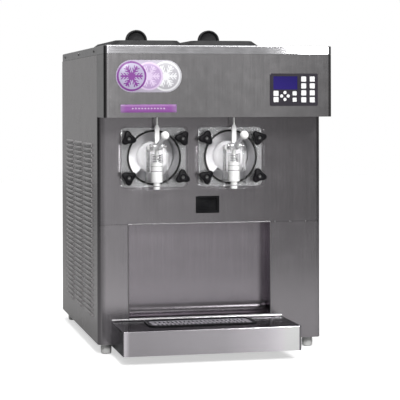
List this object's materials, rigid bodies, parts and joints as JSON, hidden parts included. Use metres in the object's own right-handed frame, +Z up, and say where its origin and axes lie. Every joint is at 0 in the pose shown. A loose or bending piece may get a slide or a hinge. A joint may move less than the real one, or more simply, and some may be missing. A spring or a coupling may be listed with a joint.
{
  "type": "ice cream maker",
  "caption": "Countertop frozen dessert freezer: steel cabinet, clear front doors with pull-down spigot handles, lidded mix hoppers, drip shelf with tray, keypad and power switch.",
  "frame": {"origin": "on the counter, under the middle of the machine's bounding box", "axes": "+Z up; the front with the spigots faces -Y; +X is to the right of someone facing it"},
  "size_m": [0.676, 0.995, 0.951],
  "materials": {
    "brushed_panel": "brushed, satin, vertical grain",
    "bright_steel": "brushed, brighter",
    "galvanised_frame": "galvanised, dull",
    "cylinder_steel": "polished bore",
    "small_steel": "bright",
    "chrome_rod": "polished",
    "clear_door": "clear moulded plastic",
    "display": "dark blue display behind a lens",
    "white_moulding": "white, food grade",
    "auger_moulding": "pale grey white",
    "cover_black": "satin black",
    "tray_black": "satin black",
    "grid_grey": "satin grey",
    "switch_black": "black",
    "keypad_black": "dark membrane with white keys",
    "black_rubber": "black",
    "foot_grey": "light grey",
    "gland_black": "black",
    "knob_black": "black",
    "foam": "rigid foam",
    "gearmotor_case": "cast and painted",
    "compressor_can": "black enamel",
    "condenser_fins": "bare fins",
    "motor_can": "dark enamel",
    "fan_moulding": "dark"
  },
  "bodies": {
    "cabinet": {"base_pan": "galvanised_frame", "chassis": "galvanised_frame", "side_panel_left": "brushed_panel", "side_panel_right": "brushed_panel", "rear_panel": "brushed_panel", "front_panel": "brushed_panel", "lower_front_panel": "brushed_panel", "splash_panel": "bright_steel", "header_shell": "brushed_panel", "top_pan": "bright_steel", "hopper_left": "bright_steel", "hopper_right": "bright_steel", "freezing_cylinders": "cylinder_steel", "barrel_insulation": "foam", "front_door_left": "clear_door", "front_door_right": "clear_door", "door_gaskets": "black_rubber", "spigot_pins": "small_steel", "spigot_spring_left": "small_steel", "spigot_spring_right": "small_steel", "gearmotors": "gearmotor_case", "compressor": "compressor_can", "condenser": "condenser_fins", "fan_motor": "motor_can", "control_box": "galvanised_frame", "keypad": "keypad_black", "lcd_screen": "display", "switch_bezel": "switch_black", "feet": "foot_grey", "panel_screws": "small_steel", "cord_gland": "gland_black", "torque_switches": "switch_black", "feed_tubes": "white_moulding", "drip_shelf": "brushed_panel"},
    "tray": {"drip_tray": "tray_black"},
    "grid": {"drip_grid": "grid_grey"},
    "rocker": {"power_rocker": "switch_black"},
    "fan": {"condenser_fan": "fan_moulding"},
    "cover_left": {"hopper_cover_left": "cover_black"},
    "handle_left": {"spigot_handle_left": "chrome_rod", "handle_ball_left": "white_moulding"},
    "plunger_left": {"spigot_plunger_left": "white_moulding"},
    "torque_arm_left": {"torque_arm_left": "white_moulding", "torque_paddle_left": "small_steel"},
    "auger_left": {"auger_left": "auger_moulding"},
    "knob_left_upper_outer": {"door_knob_left_upper_outer": "knob_black"},
    "knob_left_upper_inner": {"door_knob_left_upper_inner": "knob_black"},
    "knob_left_lower_outer": {"door_knob_left_lower_outer": "knob_black"},
    "knob_left_lower_inner": {"door_knob_left_lower_inner": "knob_black"},
    "cover_right": {"hopper_cover_right": "cover_black"},
    "handle_right": {"spigot_handle_right": "chrome_rod", "handle_ball_right": "white_moulding"},
    "plunger_right": {"spigot_plunger_right": "white_moulding"},
    "torque_arm_right": {"torque_arm_right": "white_moulding", "torque_paddle_right": "small_steel"},
    "auger_right": {"auger_right": "auger_moulding"},
    "knob_right_upper_outer": {"door_knob_right_upper_outer": "knob_black"},
    "knob_right_upper_inner": {"door_knob_right_upper_inner": "knob_black"},
    "knob_right_lower_outer": {"door_knob_right_lower_outer": "knob_black"},
    "knob_right_lower_inner": {"door_knob_right_lower_inner": "knob_black"}
  },
  "joints": [
    {"name": "cover_left_lift", "type": "slide", "parent": "cabinet", "child": "cover_left", "axis": [0, 0, 1], "range_m": [0, 0.12]},
    {"name": "handle_left_hinge", "type": "hinge", "parent": "cabinet", "child": "handle_left", "pos_m": [-0.17, -0.3605, 0.603], "axis": [1, 0, 0], "range_deg": [0, 45], "stiffness_Nm_per_rad": 1.5, "springref_deg": -34.38},
    {"name": "plunger_left_slide", "type": "slide", "parent": "cabinet", "child": "plunger_left", "axis": [0, 0, 1], "range_m": [0, 0.0163], "deforming": ["spigot_spring_left"]},
    {"name": "torque_arm_left_hinge", "type": "hinge", "parent": "cabinet", "child": "torque_arm_left", "pos_m": [-0.185, -0.3245, 0.597], "axis": [0, 1, 0], "range_deg": [-6, 6], "stiffness_Nm_per_rad": 0.8},
    {"name": "auger_left_spin", "type": "hinge", "parent": "cabinet", "child": "auger_left", "pos_m": [-0.17, -0.0925, 0.569], "axis": [0, 1, 0], "continuous": true},
    {"name": "knob_left_upper_outer_turn", "type": "hinge", "parent": "cabinet", "child": "knob_left_upper_outer", "pos_m": [-0.249, -0.3225, 0.625], "axis": [0, 1, 0], "continuous": true},
    {"name": "knob_left_upper_inner_turn", "type": "hinge", "parent": "cabinet", "child": "knob_left_upper_inner", "pos_m": [-0.091, -0.3225, 0.625], "axis": [0, 1, 0], "continuous": true},
    {"name": "knob_left_lower_outer_turn", "type": "hinge", "parent": "cabinet", "child": "knob_left_lower_outer", "pos_m": [-0.249, -0.3225, 0.513], "axis": [0, 1, 0], "continuous": true},
    {"name": "knob_left_lower_inner_turn", "type": "hinge", "parent": "cabinet", "child": "knob_left_lower_inner", "pos_m": [-0.091, -0.3225, 0.513], "axis": [0, 1, 0], "continuous": true},
    {"name": "cover_right_lift", "type": "slide", "parent": "cabinet", "child": "cover_right", "axis": [0, 0, 1], "range_m": [0, 0.12]},
    {"name": "handle_right_hinge", "type": "hinge", "parent": "cabinet", "child": "handle_right", "pos_m": [0.058, -0.3605, 0.603], "axis": [1, 0, 0], "range_deg": [0, 45], "stiffness_Nm_per_rad": 1.5, "springref_deg": -34.38},
    {"name": "plunger_right_slide", "type": "slide", "parent": "cabinet", "child": "plunger_right", "axis": [0, 0, 1], "range_m": [0, 0.0163], "deforming": ["spigot_spring_right"]},
    {"name": "torque_arm_right_hinge", "type": "hinge", "parent": "cabinet", "child": "torque_arm_right", "pos_m": [0.043, -0.3245, 0.597], "axis": [0, 1, 0], "range_deg": [-6, 6], "stiffness_Nm_per_rad": 0.8},
    {"name": "auger_right_spin", "type": "hinge", "parent": "cabinet", "child": "auger_right", "pos_m": [0.058, -0.0925, 0.569], "axis": [0, 1, 0], "continuous": true},
    {"name": "knob_right_upper_outer_turn", "type": "hinge", "parent": "cabinet", "child": "knob_right_upper_outer", "pos_m": [0.137, -0.3225, 0.625], "axis": [0, 1, 0], "continuous": true},
    {"name": "knob_right_upper_inner_turn", "type": "hinge", "parent": "cabinet", "child": "knob_right_upper_inner", "pos_m": [-0.021, -0.3225, 0.625], "axis": [0, 1, 0], "continuous": true},
    {"name": "knob_right_lower_outer_turn", "type": "hinge", "parent": "cabinet", "child": "knob_right_lower_outer", "pos_m": [0.137, -0.3225, 0.513], "axis": [0, 1, 0], "continuous": true},
    {"name": "knob_right_lower_inner_turn", "type": "hinge", "parent": "cabinet", "child": "knob_right_lower_inner", "pos_m": [-0.021, -0.3225, 0.513], "axis": [0, 1, 0], "continuous": true},
    {"name": "tray_lift", "type": "slide", "parent": "cabinet", "child": "tray", "axis": [0, 0, 1], "range_m": [0, 0.12]},
    {"name": "grid_lift", "type": "slide", "parent": "tray", "child": "grid", "axis": [0, 0, 1], "range_m": [0, 0.1]},
    {"name": "rocker_tilt", "type": "hinge", "parent": "cabinet", "child": "rocker", "pos_m": [-0.008, -0.2865, 0.43], "axis": [0, 0, 1], "range_deg": [0, 14]},
    {"name": "fan_spin", "type": "hinge", "parent": "cabinet", "child": "fan", "pos_m": [-0.24, 0.0525, 0.203], "axis": [1, 0, 0], "continuous": true}
  ],
  "couplings": [
    {"joint": "plunger_left_slide", "follows": "handle_left_hinge", "m_per_rad": 0.020448},
    {"joint": "plunger_right_slide", "follows": "handle_right_hinge", "m_per_rad": 0.020448}
  ]
}
